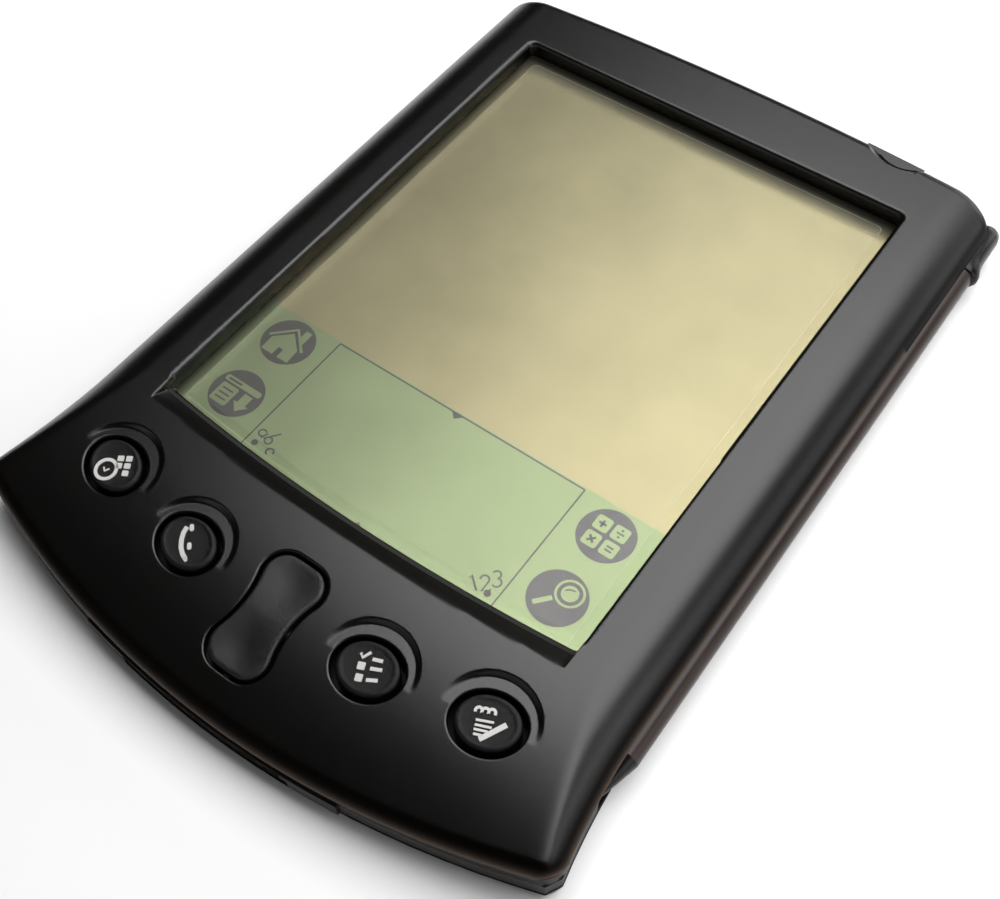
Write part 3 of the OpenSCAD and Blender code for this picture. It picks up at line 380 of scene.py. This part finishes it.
def front_shell():
    """The pressed front skin: face, rounded sides, window, ramp, key holes, scoops and lip."""
    xs, ys, edges, taken = [], [], [], {}
    cell = 0.045

    def add(x, y, force=False):
        i, j = int(x // cell), int(y // cell)
        if not force:
            for a in (-1, 0, 1):
                for b in (-1, 0, 1):
                    if (i + a, j + b) in taken:
                        return None
        taken[(i, j)] = True
        xs.append(x)
        ys.append(y)
        return len(xs) - 1

    def loop(x, y):
        ids = [add(a, b, True) for a, b in zip(x, y)]
        edges.extend((ids[i], ids[(i + 1) % len(ids)]) for i in range(len(ids)))
        return ids

    def scatter(x, y, keep):
        for a, b, k in zip(x, y, keep):
            if k:
                add(float(a), float(b))

    def clear(x, y, gap):
        """True for points on the skin, at least gap from every hole."""
        ok = (window_in(x, y) < -gap) & (rocker_out(x, y) > gap)
        for k in range(len(KEYS)):
            ok &= key_out(x, y, k) > gap
        return ok & (outline_in(x, y) > 0.02)

    origin = (0.0, 0.0)
    angles = even_angles(outline_in, origin, 900)
    outer = loop(*cast(outline_in, origin, angles))
    wa = even_angles(window_in, (0, 8.0), 640)
    window = loop(*cast(window_in, (0, 8.0), wa))
    ka = np.linspace(0, 2 * math.pi, 121)[:-1]
    holes = []
    for k, (kx, ky, _, _) in enumerate(KEYS):
        holes.append(loop(*cast(lambda x, y, k=k: -key_out(x, y, k), (kx, ky), ka, 9)))
    ra = np.linspace(0, 2 * math.pi, 241)[:-1]
    holes.append(loop(*cast(lambda x, y: -rocker_out(x, y), (0, ROCKER_Y), ra, 12)))

    for t in (0.06, 0.14, 0.24, 0.36, 0.5, 0.7, 0.95, 1.3):
        x, y = cast(lambda x, y, t=t: window_in(x, y) + t, (0, 8.0), wa)
        scatter(x, y, clear(x, y, 0.03))
    for t in (0.04, 0.09, 0.16, 0.25, 0.36, 0.55, 0.8, 1.1, 1.4, 1.8):
        for k, (kx, ky, _, _) in enumerate(KEYS):
            x, y = cast(lambda x, y, k=k, t=t: t - key_out(x, y, k), (kx, ky), ka, 9)
            scatter(x, y, clear(x, y, 0.03))
        x, y = cast(lambda x, y, t=t: t - rocker_out(x, y), (0, ROCKER_Y), ra, 12)
        scatter(x, y, clear(x, y, 0.03))
    for t in (-0.75, -0.6, -0.45, -0.3, -0.2, -0.1, 0.0, 0.1, 0.2, 0.35, 0.6):
        for kx, ky, turn, _ in KEYS:
            u, v = (SCOOP_R + t) * np.cos(ka) / 0.96, (SCOOP_R + t) * np.sin(ka) + 0.1
            u, v = turned(turn * 0.5, u, v)
            scatter(kx + u, ky + v, clear(kx + u, ky + v, 0.04) & (v > -1))
    for s in (-1, 1):
        for t in (-0.35, -0.1, 0.0, 0.08, 0.16, 0.25, 0.4):
            y = np.arange(WIN_BOTTOM - 4.0, WIN_BOTTOM + 2.2, 0.12)
            x = np.full_like(y, s * (WIN_W / 2 + t))
            scatter(x, y, clear(x, y, 0.05))
    for t in (0.03, 0.08, 0.15, 0.25, 0.4, 0.6, 0.85, 1.15, 1.5, 1.9, 2.4, 3.0, 3.7, 4.5, 5.4,
              6.3, 7.2):
        x, y = cast(lambda x, y, t=t: outline_in(x, y) - t, origin, angles)
        scatter(x, y, clear(x, y, 0.1))
    ta = np.linspace(math.pi * 1.1, math.pi * 1.9, 90)
    for t in (-0.12, -0.04, 0.02, 0.08, 0.16, 0.3, 0.55, 0.85, 1.2, 1.55, 1.9, 2.3, 2.8):
        x, y = THUMB_X + (THUMB_R - t) * np.cos(ta), THUMB_Y + (THUMB_R - t) * np.sin(ta)
        scatter(x, y, clear(x, y, 0.05))
    gx, gy = np.meshgrid(np.arange(-46, 46, 0.62), np.arange(-58, 58, 0.54))
    gx = gx + (np.arange(len(gx)) % 2 * 0.31)[:, None]
    gx, gy = gx.ravel(), gy.ravel()
    scatter(gx, gy, clear(gx, gy, 0.3) & (outline_in(gx, gy) > 0.3) & (gy < 0)
            | clear(gx, gy, 0.3) & (outline_in(gx, gy) > 0.3) & (np.arange(len(gx)) % 2 == 0))

    flat = [Vector((a, b)) for a, b in zip(xs, ys)]
    out, _, tris, which, _, _ = geometry.delaunay_2d_cdt(flat, edges, [], 0, 1e-5)
    index = {}
    for new, olds in enumerate(which):
        for o in olds:
            index[o] = new
    x, y = np.array([v.x for v in out]), np.array([v.y for v in out])
    tri = np.array([t[:3] for t in tris])
    cx, cy = x[tri].mean(1), y[tri].mean(1)
    keep = (outline_in(cx, cy) > -0.004) & (window_in(cx, cy) < 0) & (rocker_out(cx, cy) > 0)
    for k in range(len(KEYS)):
        keep &= key_out(cx, cy, k) > 0
    tri = tri[keep]
    z, n = shell_z(x, y), normals_of(x, y)
    verts, normals = np.stack([x, y, z], 1).tolist(), n.tolist()
    wear = (0.9 * np.exp(-np.clip(outline_in(x, y), 0, 9) / 0.16) * (y < 30)).tolist()
    shade = (1 - smooth_step(0.7, 2.0, outline_in(x, y))).tolist()
    faces = [tuple(map(int, t)) for t in tri]

    def skirt(ids, rows, flip):
        """Rings under a loop of vertices. Each row is (inset, height function, tilt, wear)."""
        ids = [index[i] for i in ids]
        m = len(ids)
        px, py = x[ids], y[ids]
        tx, ty = np.roll(px, -1) - np.roll(px, 1), np.roll(py, -1) - np.roll(py, 1)
        size = np.hypot(tx, ty)
        nx, ny = ty / size, -tx / size
        last = ids
        for inset, height, tilt, mark in rows:
            ring = list(range(len(verts), len(verts) + m))
            hz = height(px, py, z[ids])
            for i in range(m):
                verts.append([px[i] - nx[i] * inset, py[i] - ny[i] * inset, float(hz[i])])
                normals.append([nx[i] * tilt[0] * flip, ny[i] * tilt[0] * flip, tilt[1]])
                wear.append(mark)
                shade.append(1.0)
            for i in range(m):
                j = (i + 1) % m
                quad = (last[i], ring[i], ring[j], last[j])
                faces.append(quad if flip > 0 else quad[::-1])
            last = ring

    lip = lambda lift: (lambda px, py, pz: np.minimum(lip_z(py) + lift, pz - 0.002))
    skirt(outer, [(0.0, lambda px, py, pz: pz - (pz - lip_z(py)) * 0.3, (1, 0), 0.0),
                  (0.0, lip(0.34), (1, 0), 0.0), (0.0, lip(0.16), (1, 0), 0.7),
                  (0.05, lip(0.05), (0.8, -0.6), 1.0),
                  (0.16, lip(0.0), (0.3, -0.95), 1.0), (0.6, lip(0.0), (0, -1), 0.5),
                  (0.7, lip(0.1), (-1, -0.3), 0.0), (0.75, lip(1.0), (-1, 0), 0.0)], 1)
    sink = lambda depth: (lambda px, py, pz: pz - depth)
    level = lambda height: (lambda px, py, pz: np.minimum(pz - 0.01, height))
    skirt(window, [(0.0, level(PANEL_TOP_Z + 0.06), (1, 0), 0.0),
                   (-0.6, level(PANEL_TOP_Z + 0.04), (0, -1), 0.0)], -1)
    for ids in holes:
        skirt(ids, [(0.0, sink(0.35), (1, 0), 0.0), (0.0, sink(0.75), (1, 0), 0.0),
                    (-0.5, sink(0.8), (0, -1), 0.0)], -1)
    obj = piece("front_skin", verts, faces, COAT, "case", normals,
                attributes={"wear": wear, "shade": shade})
    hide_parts("front_shell")


front_shell()


# ---- keys ----
def flat_shape(name, outlines, z0, thick, surface, body, place):
    """Low raised marks: each outline is a list of (x, y); place maps them to the object."""
    verts, faces = [], []
    for pts in outlines:
        flat = [Vector(p) for p in pts]
        m = len(flat)
        ring = [(i, (i + 1) % m) for i in range(m)]
        out, _, tris, _, _, _ = geometry.delaunay_2d_cdt(flat, ring, [list(range(m))], 1, 1e-6)
        base = len(verts)
        for v in out:
            verts.append(place(v.x, v.y, z0 + thick))
        for v in out:
            verts.append(place(v.x, v.y, z0))
        c = len(out)
        faces += [tuple(base + i for i in t) for t in tris]
        faces += [(base + j, base + i, base + c + i, base + c + j) for i, j in ring]
    return piece(name, verts, faces, surface, body, smooth=False)


def box_outline(x0, y0, x1, y1, r=0.12, steps=4):
    """A rectangle with rounded corners."""
    pts = []
    for cx, cy, a in ((x1 - r, y0 + r, -90), (x1 - r, y1 - r, 0),
                      (x0 + r, y1 - r, 90), (x0 + r, y0 + r, 180)):
        for k in range(steps + 1):
            t = math.radians(a + 90 * k / steps)
            pts.append((cx + r * math.cos(t), cy + r * math.sin(t)))
    return pts


def stroke(points, width):
    """A band of one width along a line of points, with square ends."""
    left, right = [], []
    for i, (px, py) in enumerate(points):
        a, b = points[max(i - 1, 0)], points[min(i + 1, len(points) - 1)]
        tx, ty = b[0] - a[0], b[1] - a[1]
        size = math.hypot(tx, ty)
        ox, oy = -ty / size * width / 2, tx / size * width / 2
        left.append((px + ox, py + oy))
        right.append((px - ox, py - oy))
    return right + left[::-1]


def arc(cx, cy, r, a0, a1, steps=20):
    return [(cx + r * math.cos(math.radians(a0 + (a1 - a0) * k / steps)),
             cy + r * math.sin(math.radians(a0 + (a1 - a0) * k / steps))) for k in range(steps + 1)]


def ring_outlines(cx, cy, r, width, parts=2):
    """A ring as parts that meet, since an outline can't have a hole."""
    step = 360 / parts
    return [stroke(arc(cx, cy, r, k * step, (k + 1) * step, 24), width) for k in range(parts)]


def tilted_box(cx, cy, w, h, turn, r=0.1):
    """A rounded rectangle about a centre, turned."""
    return [(cx + turned(turn, x, y)[0], cy + turned(turn, x, y)[1])
            for x, y in box_outline(-w / 2, -h / 2, w / 2, h / 2, r)]


def scribble(loops, turn):
    """Three joined loops, like a line of handwriting."""
    path = []
    for k in range(loops):
        path += arc(0.72 * k, 0, 0.38, 205 if k == 0 else 165, -30, 8)
    return [turned(turn, x, y) for x, y in path]


def moved(outlines, dx, dy, turn=0.0, size=1.0):
    return [[(dx + size * turned(turn, x, y)[0], dy + size * turned(turn, x, y)[1]) for x, y in o]
            for o in outlines]


KEY_MARKS = {
    "calendar": [tilted_box(0.12 + 0.92 * i + 0.45 * j, 0.92 + 0.53 * i - 0.85 * j, 0.78, 0.72, 30)
                 for i in range(2) for j in range(3) if (i, j) != (0, 2)]
                + ring_outlines(-0.42, -1.12, 1.28, 0.42)
                + [stroke([(-0.85, -1.05), (-0.42, -1.4), (-0.1, -0.85)], 0.22)],
    "phone": [stroke([(-1.3, 1.35), (-1.2, 0.6), (-0.8, -0.2), (-0.2, -0.95), (0.5, -1.45),
                      (1.2, -1.72)], 0.55),
              tilted_box(-0.78, 1.58, 0.85, 0.5, -50, 0.2), tilted_box(0.52, -0.3, 0.85, 0.5, -50, 0.2),
              tilted_box(1.2, -1.78, 0.55, 0.4, -20, 0.1)],
    "tasks": [stroke([(-1.6, 0.95), (-1.15, 0.6), (-0.68, 1.6)], 0.32),
              tilted_box(-0.68, -0.18, 0.88, 0.86, 22), tilted_box(-0.1, -1.36, 0.84, 0.84, 22),
              stroke([(-0.1, 1.08), (1.02, 1.5)], 0.4), stroke([(0.32, 0.12), (1.55, 0.68)], 0.4),
              stroke([(0.72, -1.12), (1.85, -0.5)], 0.4)],
    "notes": [stroke([(x - 1.5, y + 0.45) for x, y in scribble(3, 24)], 0.32),
              stroke([(-1.2, -0.5), (0.6, 0.3)], 0.26), stroke([(-0.98, -0.98), (0.72, -0.3)], 0.26),
              stroke([(-0.8, -1.42), (0.62, -0.86)], 0.26), stroke([(-0.55, -1.86), (0.3, -1.52)], 0.26),
              stroke([(1.85, 0.85), (0.62, -1.45), (0.3, -2.0)], 0.58)]}


def app_key(k):
    """An oval key with a rolled edge, a slightly dished top and a raised mark."""
    kx, ky, turn, name = KEYS[k]
    a, b, top = HOLE_A - KEY_GAP, HOLE_B - KEY_GAP, 0.15
    base_z = float(face_z(np.array([kx]), np.array([ky]))[0])
    rise = float(face_z(np.array([kx]), np.array([ky + 0.5]))[0]
                 - face_z(np.array([kx]), np.array([ky - 0.5]))[0])
    angles = np.linspace(0, 2 * math.pi, 97)[:-1]
    profile = [(1.0, -2.6), (1.0, -0.62), (0.985, -0.3), (0.95, -0.1), (0.90, 0.0), (0.85, 0.03),
               (0.81, 0.0), (0.77, -0.05), (0.7, -0.07), (0.4, -0.08), (0.2, -0.08)]

    def place(u, v, w):
        px, py = turned(turn, u, v)
        return kx + px, ky + py, base_z + top + w + rise * py

    rings = [[place(a * s * math.cos(t), b * s * math.sin(t), w) for t in angles]
             for s, w in profile]
    verts, faces = loft(rings, close_last=True)
    cap = piece("key_cap_" + name, verts, faces, KEY_PLASTIC, name + "_key")
    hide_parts("button_" + name)
    outlines = moved(KEY_MARKS[name], 0, 0, -turn, 0.97)
    marks = flat_shape("key_mark_" + name, outlines, -0.10, 0.14, KEY_ICON, name + "_key", place)


for k in range(len(KEYS)):
    app_key(k)


def scroll_rocker():
    """The hourglass key: a shallow dish in each lobe, a ridge at the waist and a rolled edge."""
    angles = np.linspace(0, 2 * math.pi, 241)[:-1]
    insets = [0.35, 0.36, 0.42, 0.55, 0.75, 1.0, 1.3, 1.6, 2.0, 2.4]
    drops = [2.4, 0.45, 0.22, 0.06, 0.0, 0.0, 0.0, 0.0, 0.0, 0.0]
    rings = []
    for inset, drop in zip(insets, drops):
        x, y = cast(lambda x, y, i=inset: -i - rocker_out(x, y), (0, ROCKER_Y), angles, 12)
        rings.append((x, y, drop))
    x, y, _ = rings[-1]
    for s in np.arange(0.9, 0.05, -0.1):
        rings.append((x * s, ROCKER_Y + (y - ROCKER_Y) * s, 0.0))
    full = []
    for x, y, drop in rings:
        d = np.hypot(x, np.abs(y - ROCKER_Y) - 4.3)
        dish = 0.22 - 0.52 * np.exp(-(d / 2.7) ** 2)
        z = face_z(x, y) + dish - drop
        full.append([tuple(p) for p in np.stack([x, y, z], 1)])
    verts, faces = loft(full, close_last=True)
    obj = piece("rocker_skin", verts, faces, ROCKER_SKIN, "rocker")
    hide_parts("scroll_rocker")


scroll_rocker()


# ---- the screen: liquid crystal, writing print, its marks and a painted highlight along the film's edge ----
def plate(name, x0, x1, y0, y1, z0, z1, surface, body="case", r=0.3):
    """A thin sheet with rounded corners."""
    ring = box_outline(x0, y0, x1, y1, r, 6)
    bevel = min(0.05, (z1 - z0) / 3)
    inner = box_outline(x0 + bevel, y0 + bevel, x1 - bevel, y1 - bevel, r, 6)
    rings = [[(x, y, z0) for x, y in inner], [(x, y, z0 + bevel) for x, y in ring],
             [(x, y, z1 - bevel) for x, y in ring], [(x, y, z1) for x, y in inner]]
    verts, faces = loft(rings, close_first=True, close_last=True)
    return piece(name, verts, faces, surface, body, smooth=False)


INK_Z = PANEL_Z - 0.03


def here(x, y, z):
    return x, y, z


def disc(cx, cy, r, steps=64):
    return [(cx + r * math.cos(2 * math.pi * i / steps), cy + r * math.sin(2 * math.pi * i / steps))
            for i in range(steps)]


SOFT_KEYS = {
    (-24.1, -14.6): [[(-2.25, -2.6), (-2.3, -0.45), (-0.2, 1.5), (1.9, -0.45), (2.0, -2.6), (0.3, -2.6),
                      (0.3, -1.3), (-0.45, -1.3), (-0.45, -2.6)],
                     stroke([(-2.85, -0.35), (-0.18, 2.25), (2.5, -0.35)], 0.4),
                     [(0.8, 2.7), (0.8, 1.45), (1.75, 0.5), (1.75, 2.7)]],
    (-24.0, -24.3): [box_outline(-2.8, 0.85, 2.8, 1.72, 0.3), box_outline(-2.5, -2.4, 0.05, 0.55, 0.3),
                     [(0.95, 0.55), (2.2, 0.55), (2.2, -0.95), (2.75, -0.95), (1.58, -2.2), (0.4, -0.95),
                      (0.95, -0.95)]],
    (23.95, -14.6): [box_outline(x - 1.0, y - 1.0, x + 1.0, y + 1.0, 0.35)
                     for x in (-1.2, 1.2) for y in (1.1, -1.3)],
    (23.9, -24.3): ring_outlines(0.87, 1.2, 1.62, 0.3) + [stroke([(-0.5, -0.3), (-2.0, -2.0)], 0.6)]}
SIGNS = {
    (-24.0, -24.3): [stroke([(-2.3, 1.28), (-0.25, 1.28)], 0.3)]
                    + [stroke([(-2.05, y), (-0.4, y)], 0.24) for y in (-0.2, -0.93, -1.66)],
    (23.95, -14.6): [stroke([(-1.7, 1.1), (-0.7, 1.1)], 0.3), stroke([(-1.2, 1.6), (-1.2, 0.6)], 0.3),
                     stroke([(0.7, 1.1), (1.7, 1.1)], 0.24), box_outline(1.05, 1.45, 1.35, 1.75, 0.1),
                     box_outline(1.05, 0.45, 1.35, 0.75, 0.1), stroke([(-1.6, -0.9), (-0.8, -1.7)], 0.3),
                     stroke([(-0.8, -0.9), (-1.6, -1.7)], 0.3),
                     stroke([(0.75, -1.05), (1.65, -1.05)], 0.26),
                     stroke([(0.75, -1.55), (1.65, -1.55)], 0.26)]}
DIGITS = {
    "1": [stroke([(-0.25, 0.6), (0.05, 0.9), (0.05, -0.9)], 0.22)],
    "2": [stroke(arc(0, 0.4, 0.45, 170, -30, 10) + [(-0.45, -0.8), (0.5, -0.8)], 0.2)],
    "3": [stroke(arc(0, 0.45, 0.42, 150, -80, 10) + arc(0, -0.4, 0.48, 80, -150, 10), 0.2)],
    "a": [stroke(arc(0, -0.35, 0.42, 60, 340, 14), 0.2), stroke([(0.42, 0.1), (0.42, -0.8)], 0.2)],
    "b": [stroke([(-0.42, 1.1), (-0.42, -0.8)], 0.2), stroke(arc(0, -0.35, 0.42, 150, -170, 14), 0.2)],
    "c": [stroke(arc(0, -0.35, 0.42, 45, 315, 14), 0.2)]}


def screen():
    half = WIN_W / 2 + SCREEN_PAST
    lcd = plate("lcd_image", -half, half, -10.85, 49.2, 4.84, 6.84, LCD)
    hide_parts("lcd_glass")
    sheet = plate("writing_sheet", -half, half, -32.0, -10.6, 6.82, 6.86, PRINT)
    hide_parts("writing_print")
    top, w, low = -10.94, 18.55, -31.2
    lines = [stroke([(-w, low), (-w, top)], 0.2), stroke([(w, low), (w, top)], 0.2),
             stroke([(-w, top), (w, top)], 0.2)]
    lines += [[(-0.9, top), (0, top - 0.85), (0.9, top)], [(-0.9, -30.5), (0, -29.6), (0.9, -30.5)]]
    lines += [disc(-17.3, -28.4, 0.42), disc(17.3, -28.4, 0.42)]
    ink = flat_shape("print_lines", lines, INK_Z, 0.01, INK, "case", here)
    discs = flat_shape("soft_key_discs", [disc(x, y, 3.55) for x, y in SOFT_KEYS], INK_Z, 0.01,
                       INK, "case", here)
    marks = [o for (x, y), marks in SOFT_KEYS.items() for o in moved(marks, x, y)]
    pale = flat_shape("soft_key_marks", marks, INK_Z + 0.012, 0.01, PRINT, "case", here)
    lens = flat_shape("soft_key_lens", [disc(24.77, -23.1, 1.02)], INK_Z + 0.012, 0.01, PRINT,
                      "case", here)
    signs = [o for (x, y), marks in SIGNS.items() for o in moved(marks, x, y)]
    signs += [stroke(moved([arc(0, -0.5, 1.0, 125, 55, 6)], 24.77, -23.1, 25)[0], 0.2)]
    dark = flat_shape("soft_key_signs", signs, INK_Z + 0.024, 0.008, INK, "case", here)
    letters = []
    for c, x, y, turn in (("a", -17.45, -26.85, -22), ("b", -16.1, -27.2, -38),
                          ("c", -14.95, -28.3, -55), ("1", 15.05, -28.1, 50),
                          ("2", 16.1, -27.1, 42), ("3", 17.2, -26.2, 34)):
        middle = np.mean([p for o in DIGITS[c] for p in o], axis=0)
        px, py = turned(turn, *middle)
        letters += moved(DIGITS[c], x - 1.15 * px, y - 1.15 * py, turn, 1.15)
    text = flat_shape("print_characters", letters, INK_Z, 0.01, INK, "case", here)
    # a thin pale ring at the film's edge: painted highlight, not a colour of the clear film
    z1 = PANEL_TOP_Z + 0.14
    rings = []
    for inset in (0, 0.06):
        def film_in(x, y, i=inset):
            sides = round_min(WIN_W / 2 - 1.6 - i - np.abs(x), WIN_TOP - 1.6 - i - y, 0.8)
            return np.minimum(sides, WIN_ARC_R - 0.4 - i - np.hypot(x, y - WIN_CY))
        px, py = cast(film_in, (0, 8.0), even_angles(film_in, (0, 8.0), 300))
        rings.append([(a, b, z1) for a, b in zip(px, py)])
    verts, faces = loft(rings)
    edge = piece("film_edge_highlight", verts, [f[::-1] for f in faces], FILM_EDGE_HIGHLIGHT, "case", smooth=False)


screen()


# ---- a painted shadow strip in the seam round the power button ----
def power_seam_shadow():
    """A narrow near-black strip of painted shadow, standing in for the dark gap where the scoop meets
    the power button's top.
    """
    near = (BODY_T - 0.08 - TOP_KEY_Z) / THUMB_SLOPE
    band = []
    for r, way in ((THUMB_R - near + 0.12, 1), (THUMB_R - near - 0.3, -1)):
        spread = math.acos(min((THUMB_Y - TOP_Y + 0.75) / r, 1))
        for k in range(33)[::way]:
            t = 1.5 * math.pi + spread * (k / 16 - 1)
            band.append((THUMB_X + r * math.cos(t), THUMB_Y + r * math.sin(t)))
    seam = flat_shape("power_seam_shadow", [band], TOP_KEY_Z + 0.01, 0.03, PAINTED_SEAM_SHADOW, "case", here)


power_seam_shadow()


# ---- stylus head ----
def stylus_head():
    """The head of the stylus: a round rod with a finger catch at its lower end."""
    y0, y1 = 47.6, TOP_Y
    rows = [(y0, 1.2, 0.0), (y0 + 0.02, 1.75, 0.25), (y0 + 0.5, 1.9, 0.5), (y0 + 1.4, 1.92, 0.45),
            (y0 + 2.6, 1.85, 0.12), (y0 + 4.2, 1.80, 0.0), (y1 - 1.6, 1.82, 0.0),
            (y1 - 0.6, 1.62, 0.0), (y1 - 0.15, 1.25, 0.0), (y1, 0.7, 0.0)]
    angles = np.linspace(0, 2 * math.pi, 49)[:-1]
    rings = [[(RAIL_X + r * math.cos(t) + out * max(math.cos(t), 0) ** 2, y, RAIL_Z + r * math.sin(t))
              for t in angles] for y, r, out in rows]
    verts, faces = loft(rings, close_first=True, close_last=True)
    obj = piece("stylus_head_shape", verts, [f[::-1] for f in faces], HEAD_PLASTIC, "stylus_head")
    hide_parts("stylus_cap")


stylus_head()


# ---- floor, light and camera ----
def backdrop():
    mesh = bpy.data.meshes.new("floor")
    mesh.from_pydata([(-3, -3, 0), (3, -3, 0), (3, 3, 0), (-3, 3, 0)], [], [(0, 1, 2, 3)])
    m = material("floor_paper", (0.93, 0.93, 0.93), rough=0.9, grain=2.0, bump=0.01, vary=0.01,
                 patch=200)
    mesh.materials.append(m)
    floor = bpy.data.objects.new("floor", mesh)
    bpy.context.scene.collection.objects.link(floor)


def lamp(name, at, aim, size, power):
    light = bpy.data.lights.new(name, "AREA")
    light.shape = "RECTANGLE"
    light.size, light.size_y = size
    light.energy = power
    obj = bpy.data.objects.new(name, light)
    obj.location = at
    obj.rotation_euler = (Vector(aim) - Vector(at)).to_track_quat("-Z", "Y").to_euler()
    bpy.context.scene.collection.objects.link(obj)


def camera():
    data = bpy.data.cameras.new("camera")
    data.sensor_width = 36
    data.lens = 46.0
    data.clip_start = 0.005
    data.clip_end = 20
    cam = bpy.data.objects.new("camera", data)
    cam.location = (0.05774, -0.07894, 0.13362)
    cam.rotation_euler = (math.radians(33.457), math.radians(0.673), math.radians(36.098))
    bpy.context.scene.collection.objects.link(cam)
    bpy.context.scene.camera = cam


def surroundings():
    """A dim room, with a pale horizon only where the main view's mirror images don't look."""
    world = bpy.data.worlds.new("studio")
    world.use_nodes = True
    n, link = world.node_tree.nodes, world.node_tree.links.new

    def falling(socket, start, end):
        """1 up to start, 0 from end on."""
        step = n.new("ShaderNodeMapRange")
        step.interpolation_type = "SMOOTHSTEP"
        step.inputs["From Min"].default_value = start
        step.inputs["From Max"].default_value = end
        step.inputs["To Min"].default_value = 1.0
        step.inputs["To Max"].default_value = 0.0
        link(socket, step.inputs["Value"])
        return step.outputs["Result"]

    towards = n.new("ShaderNodeTexCoord").outputs["Generated"]
    split = n.new("ShaderNodeSeparateXYZ")
    link(towards, split.inputs["Vector"])
    far_side = n.new("ShaderNodeVectorMath")
    far_side.operation = "DOT_PRODUCT"
    far_side.inputs[1].default_value = (-0.76, 0.65, 0.0)
    link(towards, far_side.inputs[0])
    both = n.new("ShaderNodeMath")
    both.operation = "MULTIPLY"
    link(falling(split.outputs["Z"], 0.15, 0.55), both.inputs[0])
    link(falling(far_side.outputs["Value"], -0.2, 0.5), both.inputs[1])
    level = n.new("ShaderNodeMath")
    level.operation = "MULTIPLY_ADD"
    level.inputs[1].default_value = 0.6
    level.inputs[2].default_value = 0.03
    link(both.outputs["Value"], level.inputs[0])
    n["Background"].inputs["Color"].default_value = (1, 1, 1, 1)
    link(level.outputs["Value"], n["Background"].inputs["Strength"])
    bpy.context.scene.world = world


backdrop()
lamp("softbox", (0.105, 0.24, 0.42), (0.105, 0.24, 0.0), (0.60, 0.50), 4.2)
lamp("back_panel", (0.30, 1.0, 0.30), (0.30, 0.0, 0.30), (0.80, 0.50), 3.0)
lamp("right_panel", (0.85, 0.05, 0.40), (0.0, 0.05, 0.40), (0.60, 0.55), 1.6)
surroundings()
bpy.context.scene.view_settings.view_transform = "Standard"
camera()
